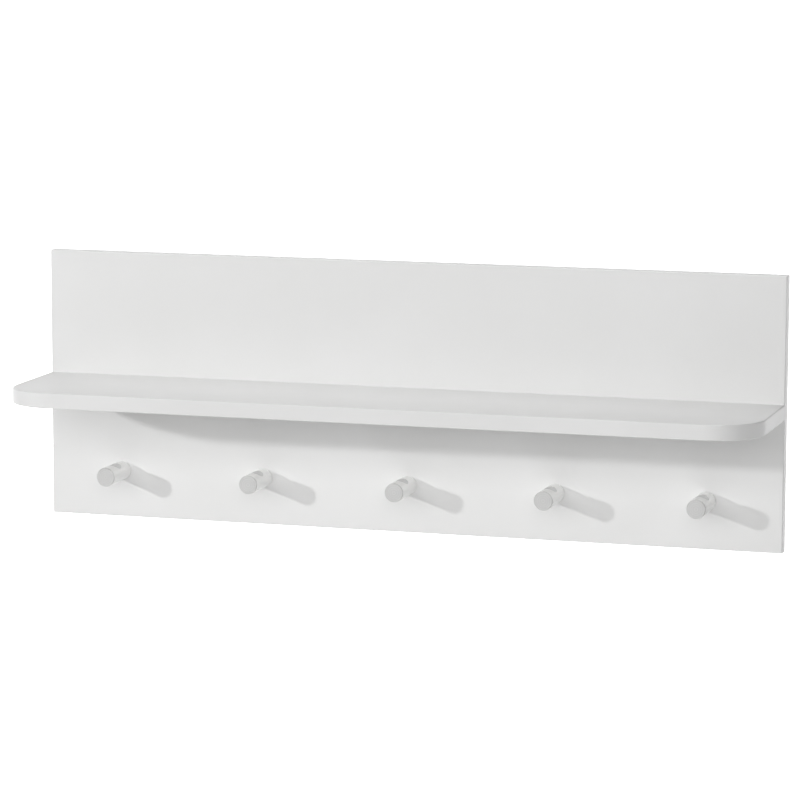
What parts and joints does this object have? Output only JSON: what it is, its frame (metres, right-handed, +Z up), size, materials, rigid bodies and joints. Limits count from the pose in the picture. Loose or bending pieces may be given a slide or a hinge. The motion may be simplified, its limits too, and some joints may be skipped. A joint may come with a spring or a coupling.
{
  "type": "wall hook rack",
  "caption": "White wall rack with a flat back panel, a shelf board with rounded front corners and a row of notched round metal pegs below it.",
  "frame": {"origin": "on the wall plane, midway between the entry holes of the two keyholes in the back of the panel", "axes": "+Z up, +Y into the wall, +X to the right for someone facing the rack"},
  "size_m": [0.8, 0.168, 0.286],
  "materials": {
    "board": "white melamine facing with a fine matt texture on particle board",
    "edge_band": "matt white plastic edge band",
    "satin_aluminium": "satin, turned, clear anodised",
    "zinc_steel": "bright zinc plate",
    "beech": "plain unfinished beech"
  },
  "bodies": {
    "root": {"back_panel": "board", "shelf_board": "board", "panel_band_top": "edge_band", "panel_band_bottom": "edge_band", "panel_band_left": "edge_band", "panel_band_right": "edge_band", "shelf_band": "edge_band", "hook_peg_1": "satin_aluminium", "hook_peg_2": "satin_aluminium", "hook_peg_3": "satin_aluminium", "hook_peg_4": "satin_aluminium", "hook_peg_5": "satin_aluminium", "hook_screw_1": "zinc_steel", "hook_screw_2": "zinc_steel", "hook_screw_3": "zinc_steel", "hook_screw_4": "zinc_steel", "hook_screw_5": "zinc_steel", "shelf_screw_1": "zinc_steel", "shelf_screw_2": "zinc_steel", "shelf_screw_3": "zinc_steel", "shelf_screw_4": "zinc_steel", "hanger_screw_1": "zinc_steel", "hanger_screw_2": "zinc_steel", "hanger_screw_3": "zinc_steel", "hanger_screw_4": "zinc_steel", "hanger_plate_left": "zinc_steel", "hanger_plate_right": "zinc_steel", "shelf_dowel_1": "beech", "shelf_dowel_2": "beech", "shelf_dowel_3": "beech"}
  },
  "joints": []
}
